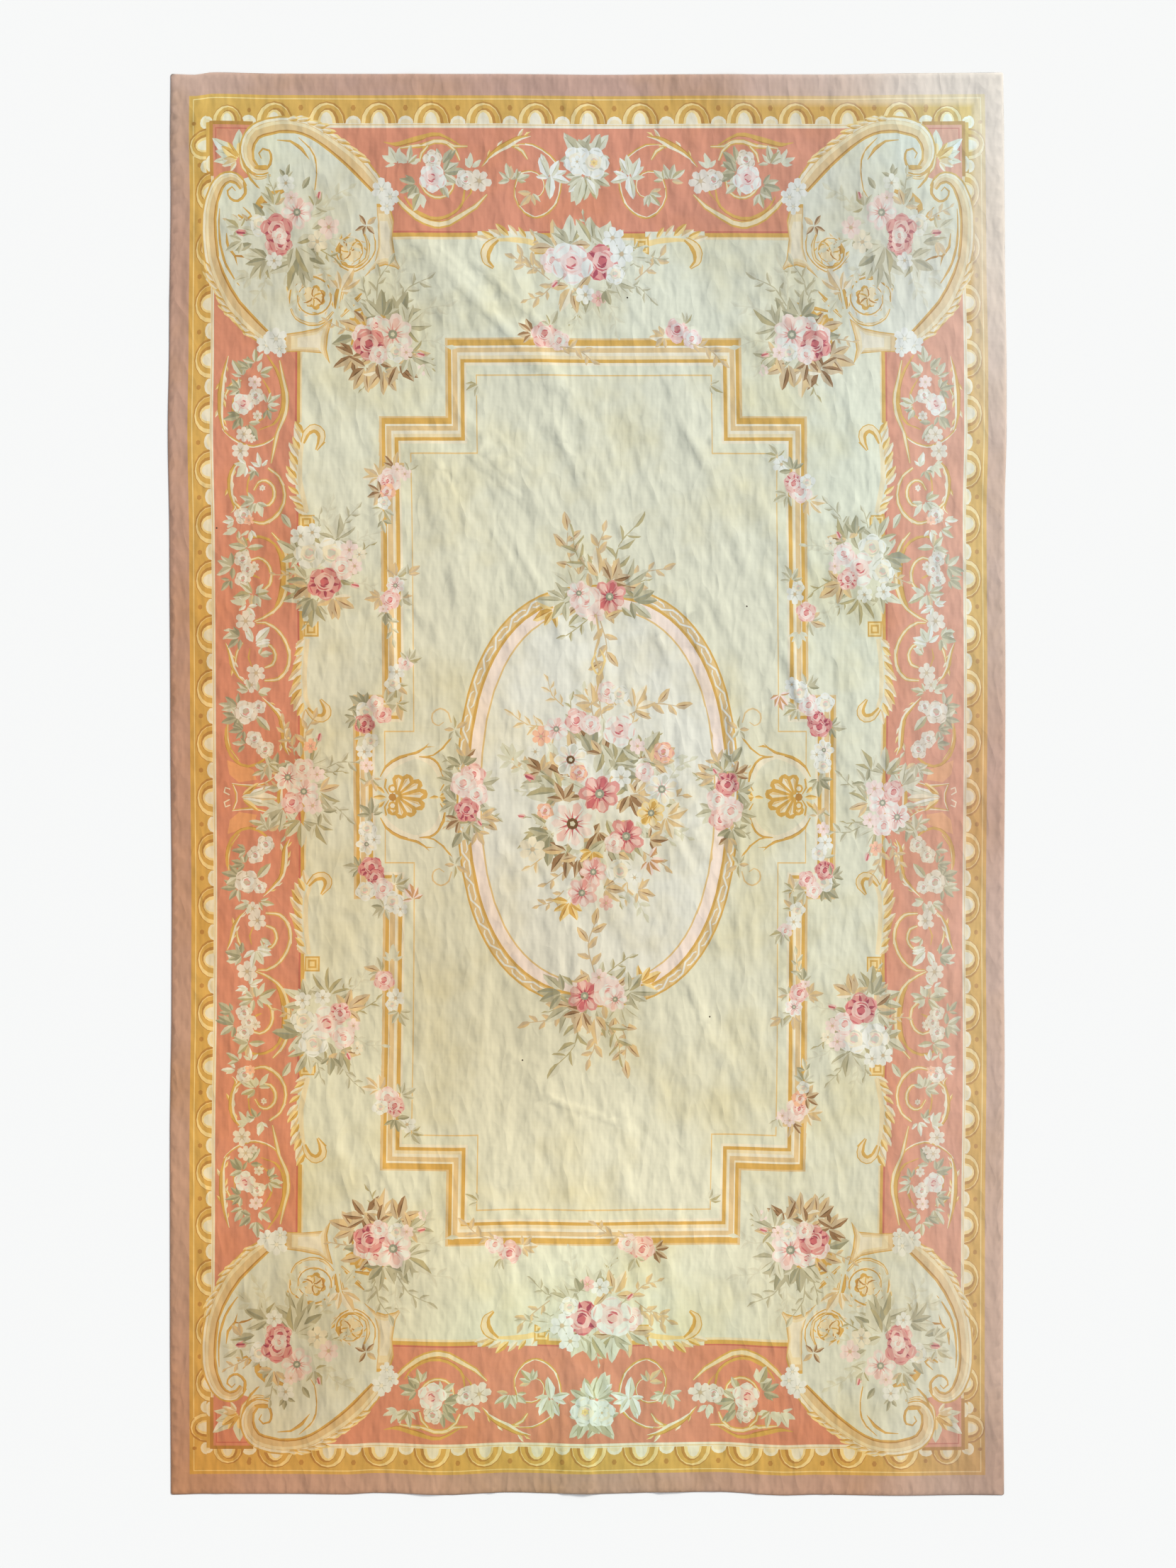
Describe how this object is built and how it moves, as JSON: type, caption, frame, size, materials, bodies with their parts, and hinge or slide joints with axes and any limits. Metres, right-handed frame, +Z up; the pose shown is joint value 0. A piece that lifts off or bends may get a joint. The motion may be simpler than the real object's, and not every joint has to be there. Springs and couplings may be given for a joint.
{
  "type": "aubusson rug",
  "caption": "Room-size flat-woven wool tapestry rug, an oval medallion in a stepped frame with flower borders, lying flat with low folds.",
  "frame": {"origin": "middle of the rug's box, on the floor that it lies on", "axes": "+X across the rug, +Y along its length towards the end with the palest corner, +Z up through the face"},
  "size_m": [2.9578, 5.0198, 0.0115],
  "materials": {
    "wool_tapestry": "matt ribbed weft-faced wool tapestry weave, faded pale green, gold, salmon and mauve"
  },
  "bodies": {
    "root": {"tapestry_cloth": "wool_tapestry"}
  },
  "joints": []
}
